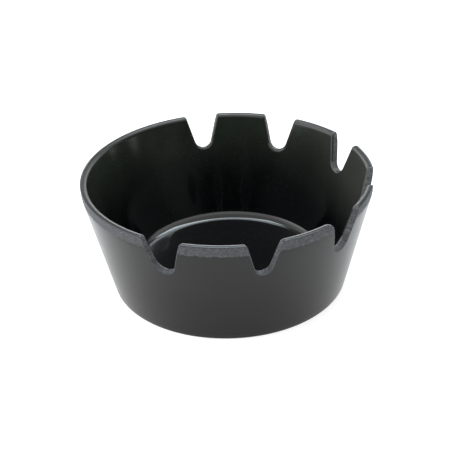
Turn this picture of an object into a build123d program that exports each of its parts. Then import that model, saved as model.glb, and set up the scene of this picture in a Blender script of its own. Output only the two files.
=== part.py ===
"""Deep round ashtray with a notched rim, moulded in one piece.

Millimetres, +Z up. The origin is the centre of the base on the surface that the
ashtray stands on. The middle cigarette notch faces +X, and the plain stretch of
rim faces -X.
"""

import os
from math import cos, radians, sin, tan

from build123d import *

# Driving dimensions of the bowl
RIM_DIAMETER = 108.0
BASE_DIAMETER = 88.4
HEIGHT = 43.5
RIM_THICKNESS = 2.3
BASE_EDGE = 1.0

# Inside: a steep upper wall, and a lower one that leans in more, joined by a wide arc (the knee)
INNER_DRAFT = 13.8
LOWER_DRAFT = 22.0
KNEE_HEIGHT = 19.7
KNEE_RADIUS = 80.0
FLOOR_THICKNESS = 2.35
FLOOR_FILLET = 4.2

# Band below the rim, where the moulding flash is sanded off the outside
BAND_HEIGHT = 3.6
BAND_TAPER = 0.25
BAND_BLEND = 3.0

# Shallow recess under the base, which leaves a foot ring
RECESS_DIAMETER = 77.0
RECESS_DEPTH = 0.6
RECESS_EDGE = 0.4

# Cigarette notches: part of a ten-fold pattern, each seating an 8 mm cigarette.
# Their bottoms rise towards the inside of the wall by CUT_TILT.
NOTCH_COUNT = 7
NOTCH_PITCH = 36.0
NOTCH_RADIUS = 3.65
NOTCH_DEPTH = 13.7
NOTCH_SIDE_ANGLE = 15.5
NOTCH_CORNER = 1.2
CUT_TILT = 14.0
CUTTER_REACH = 12.0
CUTTER_MARGIN = 6.0

# Softened edges all round the rim and the notches
EDGE_BREAK = 0.45

# Sizes that follow from the ones above
rim_radius = RIM_DIAMETER / 2
base_radius = BASE_DIAMETER / 2
inner_rim_radius = rim_radius - RIM_THICKNESS
knee_radial = inner_rim_radius - (HEIGHT - KNEE_HEIGHT) * tan(radians(INNER_DRAFT))
inner_floor_radius = knee_radial - (KNEE_HEIGHT - FLOOR_THICKNESS) * tan(radians(LOWER_DRAFT))
recess_radius = RECESS_DIAMETER / 2
band_bottom = HEIGHT - BAND_HEIGHT
notch_bottom = HEIGHT - NOTCH_DEPTH
wall_at_notch = base_radius + (rim_radius - BAND_TAPER - base_radius) * notch_bottom / band_bottom
cutter_apex = NOTCH_RADIUS - NOTCH_RADIUS / sin(radians(NOTCH_SIDE_ANGLE))
cutter_top = NOTCH_DEPTH + CUTTER_MARGIN
cutter_half_width = (cutter_top - cutter_apex) * tan(radians(NOTCH_SIDE_ANGLE))
cutter_way = (cos(radians(CUT_TILT)), 0, -sin(radians(CUT_TILT)))
section_plane = Plane(origin=(0, 0, 0), x_dir=(-1, 0, 0), z_dir=(0, 1, 0))
cutter_plane = Plane(origin=(wall_at_notch, 0, notch_bottom), x_dir=(0, 1, 0), z_dir=cutter_way)
first_notch_angle = -NOTCH_PITCH * (NOTCH_COUNT - 1) / 2


def is_corner_edge(edge):
    """True for an edge where a notch's side meets the rim's top land."""
    return edge.geom_type == GeomType.LINE and edge.position_at(0.5).Z > HEIGHT - EDGE_BREAK


def is_cut_edge(edge):
    """True for an edge of the rim's top land or of a notch's cut face, on either side of the wall."""
    middle = edge.position_at(0.5)
    crosses_wall = edge.geom_type == GeomType.LINE
    rings_wall = edge.geom_type == GeomType.CIRCLE and middle.Z < HEIGHT - EDGE_BREAK
    return middle.Z > notch_bottom - EDGE_BREAK and not crosses_wall and not rings_wall


# One notch as a solid: a round-bottomed V that runs through the wall
with BuildPart() as notch_cutter:
    with BuildSketch(cutter_plane):
        with BuildLine():
            FilletPolyline(
                (-cutter_half_width, cutter_top),
                (0, cutter_apex),
                (cutter_half_width, cutter_top),
                radius=NOTCH_RADIUS,
            )
            Line((cutter_half_width, cutter_top), (-cutter_half_width, cutter_top))
        make_face()
    extrude(amount=CUTTER_REACH, both=True)

# The bowl: one revolved wall and floor, with the notches cut through the rim
with BuildPart() as bowl:
    with BuildSketch(section_plane):
        with BuildLine():
            FilletPolyline(
                (0, FLOOR_THICKNESS),
                (inner_floor_radius, FLOOR_THICKNESS),
                (knee_radial, KNEE_HEIGHT),
                (inner_rim_radius, HEIGHT),
                (rim_radius, HEIGHT),
                (rim_radius - BAND_TAPER, band_bottom),
                (base_radius, 0),
                (recess_radius, 0),
                (recess_radius, RECESS_DEPTH),
                (0, RECESS_DEPTH),
                radius=[FLOOR_FILLET, KNEE_RADIUS, 0, 0, BAND_BLEND, BASE_EDGE, RECESS_EDGE, RECESS_EDGE],
            )
            Line((0, RECESS_DEPTH), (0, FLOOR_THICKNESS))
        make_face()
    revolve(axis=Axis.Z)
    with PolarLocations(
        radius=0,
        count=NOTCH_COUNT,
        start_angle=first_notch_angle,
        angular_range=NOTCH_PITCH * (NOTCH_COUNT - 1),
        endpoint=True,
    ):
        add(notch_cutter.part, mode=Mode.SUBTRACT)
    fillet(bowl.edges().filter_by(is_corner_edge), radius=NOTCH_CORNER)
    fillet(bowl.edges().filter_by(is_cut_edge), radius=EDGE_BREAK)

os.makedirs("parts", exist_ok=True)
bowl.part.label = "bowl"
export_step(bowl.part, "parts/bowl.step")
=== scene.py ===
"""A deep round ashtray, moulded in one piece, with seven cigarette notches cut into its rim.

Lengths are millimetres and angles degrees unless a name or a comment says otherwise. The mesh is scaled
to metres as it is made. Its height and its rim's radius come from the frame, and the rest of its section
repeats the CAD part's sizes. Its edges and notches are a little off the CAD part's, because they were
sanded by hand. Angles round the bowl start at +X and run anticlockwise seen from above.
"""

from math import atan, cos, degrees, pi, radians, sin, tan

import bpy
import numpy as np
from mathutils import Matrix, Vector


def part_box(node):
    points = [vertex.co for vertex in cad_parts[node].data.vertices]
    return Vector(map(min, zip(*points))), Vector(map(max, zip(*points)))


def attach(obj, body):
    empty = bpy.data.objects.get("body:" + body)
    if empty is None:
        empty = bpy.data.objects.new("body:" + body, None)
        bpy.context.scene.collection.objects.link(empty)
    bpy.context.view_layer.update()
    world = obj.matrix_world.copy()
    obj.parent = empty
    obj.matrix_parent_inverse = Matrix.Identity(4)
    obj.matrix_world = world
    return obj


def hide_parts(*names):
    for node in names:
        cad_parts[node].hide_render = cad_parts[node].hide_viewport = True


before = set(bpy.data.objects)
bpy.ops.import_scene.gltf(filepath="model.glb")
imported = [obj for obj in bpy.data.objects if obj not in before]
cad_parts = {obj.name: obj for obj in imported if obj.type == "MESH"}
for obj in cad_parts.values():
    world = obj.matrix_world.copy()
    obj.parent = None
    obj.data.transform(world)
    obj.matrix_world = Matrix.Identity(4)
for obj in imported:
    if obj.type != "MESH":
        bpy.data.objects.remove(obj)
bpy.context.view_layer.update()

MM = 0.001

low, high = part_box("bowl")
HEIGHT = high.z / MM
RIM_RADIUS = -low.x / MM

# ---- the section, as in the CAD part ----
BASE_RADIUS = 44.2
BASE_EDGE = 1.0
RECESS_RADIUS = 38.5
RECESS_DEPTH = 0.6
RIM_THICKNESS = 2.3
BAND_HEIGHT = 3.6
BAND_TAPER = 0.25
INNER_DRAFT = 13.8
LOWER_DRAFT = 22.0
KNEE_HEIGHT = 19.7
KNEE_RADIUS = 80.0
FLOOR_THICKNESS = 2.35
FLOOR_FILLET = 4.2

# ---- the sanded edges: how soft the band's lower border is, the rounding on the outer and the inner
# edge of the rim and the notches, and how far the land between them swells in its middle ----
BAND_SOFTNESS = 0.12
OUTER_BREAK = 0.35
INNER_BREAK = 0.85
LAND_CROWN = 0.08

# ---- the notches: the plan that hand_sanded_notches departs from ----
NOTCH_PITCH = 36.0
NOTCH_HALF_WIDTH = 6.64
NOTCH_DEPTH = 13.7
NOTCH_SIDE = 15.9
NOTCH_CORNER = 1.2
EVEN_CORNERS = (NOTCH_CORNER, NOTCH_CORNER)
# a notch's bottom lies this much higher on the inside of the wall than on the outside
CUT_RISE = 0.7

# ---- fineness of the mesh ----
# shares of the wall's height at which it has a ring, closer together near the rim
WALL_ROWS = np.concatenate([np.linspace(0, 0.8, 14), np.linspace(0.8, 1, 12)[1:]])
# degrees from point to point on the plain rim, and the steps saved where a notch takes its place
LAND_STEP = 1.3
NOTCH_STEPS = 8

# ---- the finish: a pair of colours runs from the dark to the light patches ----
OUTSIDE_IOR = 1.34
INSIDE_IOR = 1.45
SATIN = ((0.0062, 0.0060, 0.0056, 1), (0.0092, 0.0089, 0.0083, 1))
# painted shade: the colour the outside is darkened to at its foot, as if in the floor's shadow
PAINTED_FOOT_SHADE = (0.001, 0.001, 0.001, 1)
GLOSS = ((0.0002, 0.0004, 0.0006, 1), (0.0005, 0.0009, 0.0012, 1))
# colours that make the inside paler towards the rim, and paler high up on the +X side
TOWARDS_RIM_PALE = (0.019, 0.024, 0.019, 1)
PLUS_X_PALE = (0.036, 0.036, 0.033, 1)
DUST = (0.03, 0.035, 0.04, 1)
DULL = ((0.027, 0.029, 0.032, 1), (0.105, 0.110, 0.117, 1))
# painted shade: the colour the sanded faces are darkened to low down in the notches
NOTCH_BOTTOM_PAINTED_SHADE = (0.024, 0.026, 0.029, 1)
POLISHED_OUTSIDE = (0.020, 0.022, 0.024, 1)
POLISHED_INSIDE = (0.008, 0.008, 0.007, 1)
# distances over which the sanded finish fades in at the band's border and out towards the land
BAND_FADE = 0.15
LAND_FADE = 0.9
# the share of the sanded finish that is worn off the land, and the least polish on the inner edge
LAND_WEAR = 0.75
LIP_POLISH = 0.3
# depths of the relief: the moulding's slight waviness, and the scratches
ORANGE_PEEL = 0.006
SCRATCH = 0.05

# ---- the camera: its focal length is in widths of the sensor ----
CAMERA_AZIMUTH = 7.108
CAMERA_ELEVATION = 32.431
CAMERA_DISTANCE = 414.5
AIM_SIDEWAYS = -0.966
AIM_HEIGHT = 20.623
CAMERA_ROLL = -1.96
FOCAL_LENGTH = 2.3598
SENSOR = 36.0

# ---- the studio: brightness is against plain white, and sizes are in metres. A pair of heights or reaches
# on the sky gives where a part of it starts and where it is complete, as a share of the way to straight
# up, straight behind the ashtray or straight left ----
SKY = 2.35
DIM_SKY = 0.05
SKY_TOP = 1.4
SKY_TOP_RISE = (0.68, 0.88)
SKY_RISE = (0.36, 0.47)
SKY_BACK = (0.35, 0.60)
# this share of the reach backward is added to the height, so that the sky counts as lower behind
SKY_SLANT = -0.5
LEFT_GLOW = 4.0
LEFT_REACH = (0.45, 0.85)
LEFT_RISE = (-0.05, 0.10)
BACKDROP = 3.6
BACKDROP_TOP = (0.40, 0.25)
BACKDROP_REACH = (0.2, 0.6)
FLOOR_SHADE = 0.48
FLOOR_GLOW = 0.60
FLOOR_ROUGHNESS = 0.9
FLOOR_FRONT = 0.3
FLOOR_REACH = 3.0
SOFTBOX = 11.0
SOFTBOX_SIDE = (-0.28, 0.45)
SOFTBOX_REACH = (0.19, 0.60)
SOFTBOX_HEIGHT = 0.90
SOFTBOX_COLOUR = (0.82, 0.95, 1.0)

# Sizes that follow from the ones above
BAND_RADIUS = RIM_RADIUS - BAND_TAPER
BAND_BOTTOM = HEIGHT - BAND_HEIGHT
KNEE_INSIDE = RIM_RADIUS - RIM_THICKNESS - (HEIGHT - KNEE_HEIGHT) * tan(radians(INNER_DRAFT))
# from the knee's corner to either end of its arc, which turns through the difference of the drafts
KNEE_REACH = KNEE_RADIUS * tan(radians(LOWER_DRAFT - INNER_DRAFT) / 2)


def wall_taper(z):
    """The radius of the outside's straight taper, which the band then cuts into."""
    return BASE_RADIUS + (BAND_RADIUS - BASE_RADIUS) * z / BAND_BOTTOM


def outer_radius(z):
    """The outside of the wall: a taper, then the sanded band under the rim, softly joined."""
    band = BAND_RADIUS + BAND_TAPER * (z - BAND_BOTTOM) / BAND_HEIGHT
    return -BAND_SOFTNESS * np.logaddexp(-wall_taper(z) / BAND_SOFTNESS, -band / BAND_SOFTNESS)


def inner_radius(z):
    """The inside of the wall above the floor's fillet: two tapers joined by a wide arc, the knee."""
    z = np.asarray(z, dtype=float)
    upper = KNEE_INSIDE + (z - KNEE_HEIGHT) * tan(radians(INNER_DRAFT))
    lower = KNEE_INSIDE + (z - KNEE_HEIGHT) * tan(radians(LOWER_DRAFT))
    top = KNEE_HEIGHT + KNEE_REACH * cos(radians(INNER_DRAFT))
    bottom = KNEE_HEIGHT - KNEE_REACH * cos(radians(LOWER_DRAFT))
    top_radius = KNEE_INSIDE + KNEE_REACH * sin(radians(INNER_DRAFT))
    # the arc's centre lies towards the axis from the upper taper
    centre_z = top + KNEE_RADIUS * sin(radians(INNER_DRAFT))
    centre_r = top_radius - KNEE_RADIUS * cos(radians(INNER_DRAFT))
    arc = centre_r + np.sqrt(np.maximum(KNEE_RADIUS**2 - (z - centre_z) ** 2, 0.0))
    return np.where(z > top, upper, np.where(z < bottom, lower, arc))


def half_outline(half_width, depth, corner):
    """Half of a notch's outline, from the middle of its bottom to the rim.

    The rows are the distance sideways, the height, and the two parts of the normal, which points into
    the notch.
    """
    side = radians(NOTCH_SIDE)
    bottom = HEIGHT - depth
    apex = HEIGHT - half_width / tan(side)
    radius = (bottom - apex) * sin(side) / (1 - sin(side))
    turn = np.linspace(0, pi / 2 - side, 10)
    arc = np.stack([
        radius * np.sin(turn),
        bottom + radius - radius * np.cos(turn),
        -np.sin(turn),
        np.cos(turn),
    ])
    corner_middle = half_width + corner * (1 - sin(side)) / cos(side)
    turn = np.linspace(side, pi / 2, 8)
    rim = np.stack([
        corner_middle - corner * np.cos(turn),
        HEIGHT - corner + corner * np.sin(turn),
        -np.cos(turn),
        np.sin(turn),
    ])
    share = np.linspace(0, 1, 14)[1:-1]
    straight = arc[:, -1:] + (rim[:, :1] - arc[:, -1:]) * share
    straight[2:] = rim[2:, :1]
    return np.concatenate([arc, straight, rim], axis=1)


def outline(half_width, depth, lean, corners):
    """A whole notch outline, clockwise corner first. lean tips its bottom to one side."""
    before = half_outline(half_width, depth, corners[0])
    after = half_outline(half_width, depth, corners[1])
    before = before[:, :0:-1] * np.array([[-1], [1], [-1], [1]])
    line = np.concatenate([before, after], axis=1)
    line[1] += tan(radians(lean)) * line[0] * (HEIGHT - line[1]) / depth
    return line


class Notch:
    """One notch, as its outlines on the outside and the inside of the wall.

    place counts from the middle notch at +X. turn is in degrees. widen and deepen add to the plan's half
    width and depth. skew shifts and lean tips the inner outline only. corners are the radii of the rim's
    corners on the clockwise and the anticlockwise side.
    """

    def __init__(self, place, turn, widen, deepen=0.0, skew=0.0, lean=0.0, corners=EVEN_CORNERS):
        self.angle = radians(place * NOTCH_PITCH + turn)
        half_width = NOTCH_HALF_WIDTH + widen
        depth = NOTCH_DEPTH + deepen
        self.outside = outline(half_width, depth, 0.0, corners)
        narrowing = CUT_RISE * tan(radians(NOTCH_SIDE))
        self.inside = outline(half_width - narrowing, depth - CUT_RISE, lean, corners)
        self.inside[0] += skew


def hand_sanded_notches():
    """The seven notches in order. Each was sanded by hand, so each is a little off the plan."""
    return [
        Notch(-3, turn=-0.18, widen=0.32, deepen=0.22),
        Notch(-2, turn=1.71, widen=-0.60, deepen=-0.31, skew=-0.2, lean=9.0, corners=(NOTCH_CORNER, 2.0)),
        Notch(-1, turn=1.68, widen=0.57, deepen=0.82, corners=(3.0, NOTCH_CORNER)),
        Notch(0, turn=-0.37, widen=-0.18),
        Notch(1, turn=-0.47, widen=0.02, deepen=-0.20),
        Notch(2, turn=0.05, widen=0.07, deepen=-0.21),
        Notch(3, turn=-0.27, widen=-0.17, deepen=-0.26),
    ]


def rim_line(notches, radius_at, inside, offset):
    """Angles and heights of the line that runs offset away from the cut edge, all round the wall."""
    ends = []
    for notch in notches:
        v, z, normal_v, normal_z = notch.inside if inside else notch.outside
        v = v - offset * normal_v
        z = z - offset * normal_z
        ends.append((notch.angle + np.arcsin(v / radius_at(z)), z))
    angles = []
    heights = []
    for i, (angle, z) in enumerate(ends):
        following = (i + 1) % len(ends)
        apart = (notches[following].angle - notches[i].angle) % (2 * pi)
        steps = int(degrees(apart) / LAND_STEP) - NOTCH_STEPS
        stop = angle[-1] + (ends[following][0][0] - angle[-1]) % (2 * pi)
        between = np.linspace(angle[-1], stop, steps)[1:-1]
        angles += [angle, between]
        heights += [z, np.full(len(between), HEIGHT - offset)]
    return np.concatenate(angles), np.concatenate(heights)


def ring(angle, radius, height, zone):
    """One ring of points, and the zone of the surface that it belongs to."""
    return angle, np.broadcast_to(radius, angle.shape), np.broadcast_to(height, angle.shape), zone


def outside_rings(notches):
    """From the middle of the underside, over the foot ring and up the outside of the wall."""
    angle, top = rim_line(notches, outer_radius, False, OUTER_BREAK)
    for radius in np.linspace(0, RECESS_RADIUS, 8)[1:]:
        yield ring(angle, radius, RECESS_DEPTH, "outside")
    for share in np.linspace(0, 1, 4)[1:]:
        yield ring(angle, RECESS_RADIUS + RECESS_DEPTH * share, RECESS_DEPTH * (1 - share), "outside")
    lean = atan((BAND_RADIUS - BASE_RADIUS) / BAND_BOTTOM)
    edge_middle = BASE_RADIUS + BASE_EDGE * tan(lean) - BASE_EDGE / cos(lean)
    for turn in np.linspace(-pi / 2, -lean, 7):
        yield ring(angle, edge_middle + BASE_EDGE * cos(turn), BASE_EDGE + BASE_EDGE * sin(turn), "outside")
    wall_foot = BASE_EDGE - BASE_EDGE * sin(lean)
    for share in WALL_ROWS[1:]:
        z = wall_foot + (top - wall_foot) * share
        yield ring(angle, outer_radius(z), z, "outside")


def cut_rings(notches):
    """Over the outer edge, across the rim and the notches' faces, and over the inner edge."""
    for turn in np.linspace(0, pi / 2, 5)[1:]:
        angle, z = rim_line(notches, outer_radius, False, OUTER_BREAK * (1 - sin(turn)))
        yield ring(angle, outer_radius(z) - OUTER_BREAK * (1 - cos(turn)), z, "cut")
    outer_angle, outer_z = rim_line(notches, outer_radius, False, 0)
    inner_angle, inner_z = rim_line(notches, inner_radius, True, 0)
    # a place seen from above as a complex number, so that its angle and its radius are easily had
    start = (outer_radius(outer_z) - OUTER_BREAK) * np.exp(1j * outer_angle)
    stop = (inner_radius(inner_z) + INNER_BREAK) * np.exp(1j * inner_angle)
    for share in np.linspace(0, 1, 9)[1:]:
        point = start + (stop - start) * share
        crown = LAND_CROWN * 4 * share * (1 - share)
        yield ring(np.angle(point), abs(point), outer_z + (inner_z - outer_z) * share + crown, "cut")
    for turn in np.linspace(pi / 2, 0, 5)[1:]:
        angle, z = rim_line(notches, inner_radius, True, INNER_BREAK * (1 - sin(turn)))
        yield ring(angle, inner_radius(z) + INNER_BREAK * (1 - cos(turn)), z, "lip")


def inside_rings(notches):
    """Down the inside of the wall, round the fillet and to the middle of the floor."""
    angle, top = rim_line(notches, inner_radius, True, INNER_BREAK)
    draft = radians(LOWER_DRAFT)
    corner = KNEE_INSIDE - (KNEE_HEIGHT - FLOOR_THICKNESS) * tan(draft)
    fillet_middle = corner - FLOOR_FILLET * tan((pi / 2 - draft) / 2)
    fillet_top = FLOOR_THICKNESS + FLOOR_FILLET * (1 - sin(draft))
    for share in WALL_ROWS[-2::-1]:
        z = fillet_top + (top - fillet_top) * share
        yield ring(angle, inner_radius(z), z, "inside")
    for turn in np.linspace(draft, pi / 2, 12)[1:]:
        height = FLOOR_THICKNESS + FLOOR_FILLET * (1 - sin(turn))
        yield ring(angle, fillet_middle + FLOOR_FILLET * cos(turn), height, "inside")
    for radius in np.linspace(fillet_middle, 0, 12)[1:-1]:
        yield ring(angle, radius, FLOOR_THICKNESS, "inside")


def ring_points(rings):
    """The rings' points, then the middle of the underside and the middle of the floor."""
    points = []
    for angle, radius, height, _ in rings:
        points.append(np.stack([radius * np.cos(angle), radius * np.sin(angle), height], axis=1))
    middles = [(0, 0, RECESS_DEPTH), (0, 0, FLOOR_THICKNESS)]
    return np.concatenate(points + [middles])


def ring_faces(rings):
    """Quads from ring to ring, then a fan under the base and one on the floor."""
    count = len(rings[0][0])
    underside = len(rings) * count
    floor = underside + 1
    last = underside - count
    faces = []
    for row in range(0, last, count):
        for i in range(count):
            a = row + i
            b = row + (i + 1) % count
            faces.append((a, b, b + count, a + count))
    for i in range(count):
        j = (i + 1) % count
        faces.append((underside, j, i))
        faces.append((floor, last + i, last + j))
    return faces


def paint(mesh, name, values):
    """Store a number at every vertex, for the material to read."""
    layer = mesh.attributes.new(name, "FLOAT", "POINT")
    layer.data.foreach_set("value", np.asarray(values, dtype=float))


def paint_zones(mesh, rings, points):
    """Give the inside its own material, and store every vertex's zone and how sanded and polished it is."""
    count = len(rings[0][0])
    inner = [zone in ("lip", "inside") for *_, zone in rings[1:]]
    inner = np.concatenate([np.repeat(inner, count), np.tile([False, True], count)])
    mesh.polygons.foreach_set("material_index", inner.astype(int))
    zones = [np.full(count, zone) for *_, zone in rings]
    zones = np.concatenate(zones + [["outside", "inside"]])
    radius = np.hypot(points[:, 0], points[:, 1])
    height = points[:, 2]
    banded = np.clip((wall_taper(height) - radius) / BAND_FADE, 0, 1)
    land = np.clip((height - HEIGHT) / LAND_FADE + 1, 0, 1)
    rim = np.clip((height - HEIGHT) / (2 * INNER_BREAK) + 1, 0, 1)
    sanded = {"outside": banded, "cut": 1 - LAND_WEAR * land, "lip": 0.0, "inside": 0.0}
    lip = LIP_POLISH + (1 - LIP_POLISH) * rim
    polished = {"outside": 0.0, "cut": land, "lip": lip, "inside": 0.0}
    paint(mesh, "sanded", np.select([zones == name for name in sanded], list(sanded.values())))
    paint(mesh, "polished", np.select([zones == name for name in polished], list(polished.values())))
    paint(mesh, "cut", zones == "cut")
    paint(mesh, "inside", (zones == "inside") | (zones == "lip"))


def build_bowl():
    """The whole ashtray as one closed mesh, made of rings from the underside over the rim to the floor."""
    notches = hand_sanded_notches()
    rings = [*outside_rings(notches), *cut_rings(notches), *inside_rings(notches)]
    points = ring_points(rings)
    mesh = bpy.data.meshes.new("bowl_moulding")
    mesh.from_pydata([tuple(point) for point in points * MM], [], ring_faces(rings))
    mesh.validate()
    mesh.polygons.foreach_set("use_smooth", [True] * len(mesh.polygons))
    paint_zones(mesh, rings, points)
    bowl = bpy.data.objects.new("bowl_moulding", mesh)
    bpy.context.scene.collection.objects.link(bowl)
    return bowl


class Nodes:
    """Short calls for building a node tree. What they return is an output, ready to be linked on."""

    def __init__(self, tree):
        self.tree = tree

    def node(self, kind, settings=(), **inputs):
        """A new node. Its inputs go by name, or by an underscore and their number."""
        node = self.tree.nodes.new("ShaderNode" + kind)
        for name, value in dict(settings).items():
            setattr(node, name, value)
        for name, value in inputs.items():
            socket = node.inputs[int(name[1:])] if name[0] == "_" else node.inputs[name.replace("_", " ")]
            self.fill(socket, value)
        return node

    def fill(self, socket, value):
        """Link an output to an input, or set the input to a plain value."""
        if isinstance(value, bpy.types.NodeSocket):
            self.tree.links.new(value, socket)
        else:
            socket.default_value = value

    def math(self, operation, *values):
        inputs = {f"_{i}": value for i, value in enumerate(values)}
        return self.node("Math", {"operation": operation}, **inputs).outputs[0]

    def vector(self, operation, *values):
        inputs = {f"_{i}": value for i, value in enumerate(values)}
        return self.node("VectorMath", {"operation": operation}, **inputs).outputs[0]

    def along(self, vector, way):
        """How far a vector reaches along a direction."""
        return self.node("VectorMath", {"operation": "DOT_PRODUCT"}, _0=vector, _1=way).outputs["Value"]

    def spread(self, value, from_low, from_high, to_low=0.0, to_high=1.0):
        """Map a range on to another, with the ends held."""
        node = self.node("MapRange", {"interpolation_type": "SMOOTHSTEP"}, _0=value)
        for socket, number in zip(node.inputs[1:5], (from_low, from_high, to_low, to_high)):
            self.fill(socket, number)
        return node.outputs[0]

    def mix(self, share, first, second):
        """Blend two numbers."""
        node = self.node("Mix", {"data_type": "FLOAT"}, _0=share)
        self.fill(node.inputs[2], first)
        self.fill(node.inputs[3], second)
        return node.outputs[0]

    def mix_colour(self, share, first, second):
        """Blend two colours."""
        node = self.node("Mix", {"data_type": "RGBA"}, _0=share)
        self.fill(node.inputs[6], first)
        self.fill(node.inputs[7], second)
        return node.outputs[2]

    def noise(self, place, size_mm, detail=2.0, roughness=0.5):
        """Noise from 0 to 1 about 0.5, whose blobs are about size_mm across."""
        scale = 1 / (size_mm * MM)
        return self.node("TexNoise", Vector=place, Scale=scale, Detail=detail, Roughness=roughness).outputs[0]

    def attribute(self, name):
        return self.node("Attribute", {"attribute_name": name}).outputs["Fac"]

    def stretched(self, place, scale):
        return self.node("Mapping", Vector=place, Scale=scale).outputs[0]


def sanding_marks(n, place, cut):
    """Grit and scratches, 0 to 1: along the rim on the band, straight through the wall on the cut faces."""
    along = n.noise(n.stretched(place, (0.5, 0.5, 1.8)), 0.42, 3.0, 0.6)
    spoke = n.vector("NORMALIZE", n.vector("MULTIPLY", place, (1, 1, 0)))
    spoke = n.node("VectorMath", {"operation": "SCALE"}, _0=spoke, Scale=RIM_RADIUS * MM).outputs[0]
    upright = n.vector("MULTIPLY", place, (0.18, 0.18, 1))
    across = n.noise(n.vector("ADD", spoke, upright), 0.55, 3.0, 0.6)
    grit = n.noise(place, 0.30, 3.0, 0.7)
    return n.math("ADD", n.math("MULTIPLY", n.mix(cut, along, across), 0.45), n.math("MULTIPLY", grit, 0.55))


def satin_colour(n, height, patch):
    """The outside: slightly patchy, and darkened towards the foot by painted shade, as if the floor shaded
    it.
    """
    satin = n.mix_colour(patch, *SATIN)
    # painted shade darkens the outside over its lowest 30 mm
    return n.mix_colour(n.spread(height, 30 * MM, 0.0, 0.0, 0.8), satin, PAINTED_FOOT_SHADE)


def gloss_colour(n, place, height, sideways, patch):
    """The inside: paler towards the rim, paler still high up on the +X side, and dusted all over."""
    gloss = n.mix_colour(patch, *GLOSS)
    # the inside turns paler towards the rim, then paler still high up on the +X side
    rim_paleness = n.math("MULTIPLY", n.spread(height, 12 * MM, HEIGHT * MM), n.mix(patch, 0.3, 1.0))
    gloss = n.mix_colour(rim_paleness, gloss, TOWARDS_RIM_PALE)
    plus_x_paleness = n.math("MULTIPLY", n.spread(sideways, 24 * MM, 52 * MM), n.mix(patch, 0.4, 1.0))
    plus_x_paleness = n.math("MULTIPLY", plus_x_paleness, n.spread(height, 8 * MM, 34 * MM))
    gloss = n.mix_colour(plus_x_paleness, gloss, PLUS_X_PALE)
    dust = n.spread(n.noise(place, 0.42, 0.0), 0.73, 0.80)
    return n.mix_colour(n.math("MULTIPLY", dust, 0.35), gloss, DUST)


def dull_colour(n, height, cut, marks):
    """Where it was sanded: dark and pale specks, with painted shade darkening the bottoms of the notches."""
    dull = n.mix_colour(n.spread(marks, 0.44, 0.60), *DULL)
    # painted shade: the notches' faces darken towards their bottoms
    notch_bottom_shade = n.math("MULTIPLY", cut, n.spread(height, 36 * MM, 30 * MM))
    return n.mix_colour(n.math("MULTIPLY", notch_bottom_shade, 0.5), dull, NOTCH_BOTTOM_PAINTED_SHADE)


def gloss_roughness(n, place, height):
    """The inside: mirror-like on the floor and the lower wall, smeared higher up."""
    smear = n.noise(n.stretched(place, (1, 1, 2.2)), 9.0, 3.0)
    wall = n.spread(height, 6 * MM, 12 * MM)
    upper = n.spread(height, 14 * MM, 30 * MM)
    return n.mix(wall, 0.07, n.mix(upper, 0.08, n.mix(smear, 0.12, 0.20)))


def moulded_plastic(name, ior):
    """Black moulding: satin outside, glossy inside, dull and scratched where it was sanded."""
    material = bpy.data.materials.new(name)
    material.use_nodes = True
    tree = material.node_tree
    shader = tree.nodes["Principled BSDF"]
    shader.inputs["IOR"].default_value = ior
    n = Nodes(tree)
    place = n.node("TexCoord").outputs["Object"]
    sideways, _, height = n.node("SeparateXYZ", Vector=place).outputs
    patch = n.noise(place, 14.0, 3.0)

    # which surface this is, with the sanded one's borders broken up
    cut = n.attribute("cut")
    inside = n.attribute("inside")
    polished = n.attribute("polished")
    ragged = n.math("MULTIPLY_ADD", n.noise(place, 1.1, 4.0), 0.8, -0.4)
    sanded = n.spread(n.math("ADD", n.attribute("sanded"), ragged), 0.38, 0.65)
    marks = sanding_marks(n, place, cut)

    gloss = gloss_colour(n, place, height, sideways, patch)
    body = n.mix_colour(inside, satin_colour(n, height, patch), gloss)
    polish = n.mix_colour(inside, POLISHED_OUTSIDE, POLISHED_INSIDE)
    body = n.mix_colour(polished, body, polish)
    n.fill(shader.inputs["Base Color"], n.mix_colour(sanded, body, dull_colour(n, height, cut, marks)))

    rough = n.mix(inside, n.mix(patch, 0.22, 0.27), gloss_roughness(n, place, height))
    rough = n.mix(polished, rough, n.mix(inside, 0.26, 0.42))
    n.fill(shader.inputs["Roughness"], n.mix(sanded, rough, n.mix(marks, 0.55, 0.75)))

    peel = n.math("MULTIPLY", n.noise(place, 1.6, 2.0), ORANGE_PEEL * MM)
    scratch = n.math("MULTIPLY", marks, SCRATCH * MM)
    bump = n.node("Bump", Height=n.mix(sanded, peel, scratch), Strength=1.0, Distance=1.0)
    n.fill(shader.inputs["Normal"], bump.outputs[0])
    return material


def build_floor():
    """A plain pale floor that also glows a little. It ends in front, out of the camera's sight."""
    mesh = bpy.data.meshes.new("floor")
    corners = [
        (-FLOOR_REACH, -FLOOR_FRONT, 0),
        (FLOOR_REACH, -FLOOR_FRONT, 0),
        (FLOOR_REACH, FLOOR_REACH, 0),
        (-FLOOR_REACH, FLOOR_REACH, 0),
    ]
    mesh.from_pydata(corners, [], [(0, 1, 2, 3)])
    floor = bpy.data.objects.new("floor", mesh)
    floor.rotation_euler = (0, 0, radians(CAMERA_AZIMUTH))
    bpy.context.scene.collection.objects.link(floor)
    material = bpy.data.materials.new("white_floor")
    material.use_nodes = True
    shader = material.node_tree.nodes["Principled BSDF"]
    shader.inputs["Base Color"].default_value = (FLOOR_SHADE, FLOOR_SHADE, FLOOR_SHADE, 1)
    shader.inputs["Roughness"].default_value = FLOOR_ROUGHNESS
    shader.inputs["Emission Color"].default_value = (1, 1, 1, 1)
    shader.inputs["Emission Strength"].default_value = FLOOR_GLOW
    floor.data.materials.append(material)


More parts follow.
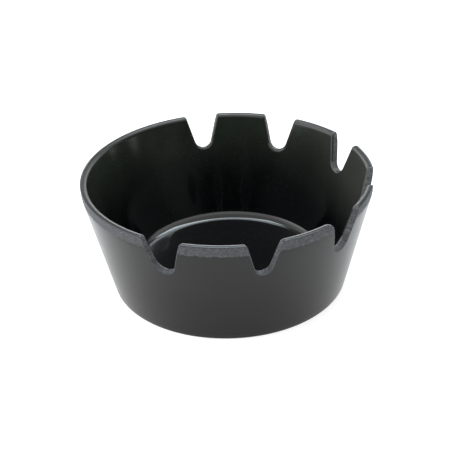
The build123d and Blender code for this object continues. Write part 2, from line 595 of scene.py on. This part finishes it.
def light_sky(ahead):
    """A sky that is bright overhead and in front, and dim near the ground.

    Behind, the dim part reaches much higher, with a white backdrop low down in it. A bright card stands
    at the left. The camera itself sees plain white instead.
    """
    world = bpy.data.worlds.new("studio")
    bpy.context.scene.world = world
    world.use_nodes = True
    n = Nodes(world.node_tree)
    way = n.node("TexCoord").outputs["Generated"]
    backward = n.along(way, ahead)
    upward = n.along(way, (0, 0, 1))
    leftward = n.along(way, (-ahead[1], ahead[0], 0))
    above = n.spread(upward, *SKY_RISE)
    in_front = n.spread(n.math("MULTIPLY_ADD", backward, SKY_SLANT, upward), *SKY_BACK)
    sky = n.spread(upward, *SKY_TOP_RISE, SKY, SKY_TOP)
    glow = n.mix(n.math("MULTIPLY", above, in_front), DIM_SKY, sky)
    behind = n.math("MULTIPLY", n.spread(upward, *BACKDROP_TOP), n.spread(backward, *BACKDROP_REACH))
    glow = n.mix(behind, glow, BACKDROP)
    beside = n.math("MULTIPLY", n.spread(leftward, *LEFT_REACH, 0, LEFT_GLOW), n.spread(upward, *LEFT_RISE))
    glow = n.math("MAXIMUM", glow, beside)
    seen = n.node("LightPath").outputs["Is Camera Ray"]
    background = world.node_tree.nodes["Background"]
    background.inputs["Color"].default_value = (1, 1, 1, 1)
    n.fill(background.inputs["Strength"], n.mix(seen, glow, 1.0))


def hang_softbox(ahead):
    """A big soft box overhead and behind, facing straight down."""
    near, far = SOFTBOX_REACH
    left, right = SOFTBOX_SIDE
    box = bpy.data.lights.new("softbox", "AREA")
    box.shape = "RECTANGLE"
    box.size = right - left
    box.size_y = far - near
    box.energy = SOFTBOX * pi * box.size * box.size_y
    box.color = SOFTBOX_COLOUR
    lamp = bpy.data.objects.new("softbox", box)
    bpy.context.scene.collection.objects.link(lamp)
    side = Vector((ahead[1], -ahead[0], 0))
    above = Vector((0, 0, SOFTBOX_HEIGHT))
    lamp.location = Vector(ahead) * (near + far) / 2 + side * (left + right) / 2 + above
    lamp.rotation_euler = (0, 0, radians(CAMERA_AZIMUTH))


def place_camera():
    """A camera in front, turned from -Y by its azimuth, that looks down on the ashtray with a slight roll."""
    azimuth = radians(CAMERA_AZIMUTH)
    elevation = radians(CAMERA_ELEVATION)
    right = Vector((cos(azimuth), sin(azimuth), 0))
    outward = Vector((sin(azimuth) * cos(elevation), -cos(azimuth) * cos(elevation), sin(elevation)))
    aim = right * AIM_SIDEWAYS + Vector((0, 0, AIM_HEIGHT))
    place = outward * CAMERA_DISTANCE
    forward = (aim - place).normalized()
    level = forward.cross(Vector((0, 0, 1))).normalized()
    upright = level.cross(forward)
    roll = radians(CAMERA_ROLL)
    side = level * cos(roll) + upright * sin(roll)
    up = upright * cos(roll) - level * sin(roll)
    data = bpy.data.cameras.new("camera")
    data.sensor_width = SENSOR
    data.lens = SENSOR * FOCAL_LENGTH
    camera = bpy.data.objects.new("camera", data)
    bpy.context.scene.collection.objects.link(camera)
    camera.matrix_world = Matrix.Translation(place * MM) @ Matrix((side, up, -forward)).transposed().to_4x4()
    bpy.context.scene.camera = camera


bowl = build_bowl()
bowl.data.materials.append(moulded_plastic("black_moulding_outside", OUTSIDE_IOR))
bowl.data.materials.append(moulded_plastic("black_moulding_inside", INSIDE_IOR))
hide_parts("bowl")
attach(bowl, "root")

straight_back = (-sin(radians(CAMERA_AZIMUTH)), cos(radians(CAMERA_AZIMUTH)), 0.0)
build_floor()
light_sky(straight_back)
hang_softbox(straight_back)
place_camera()
bpy.context.scene.view_settings.view_transform = "Standard"
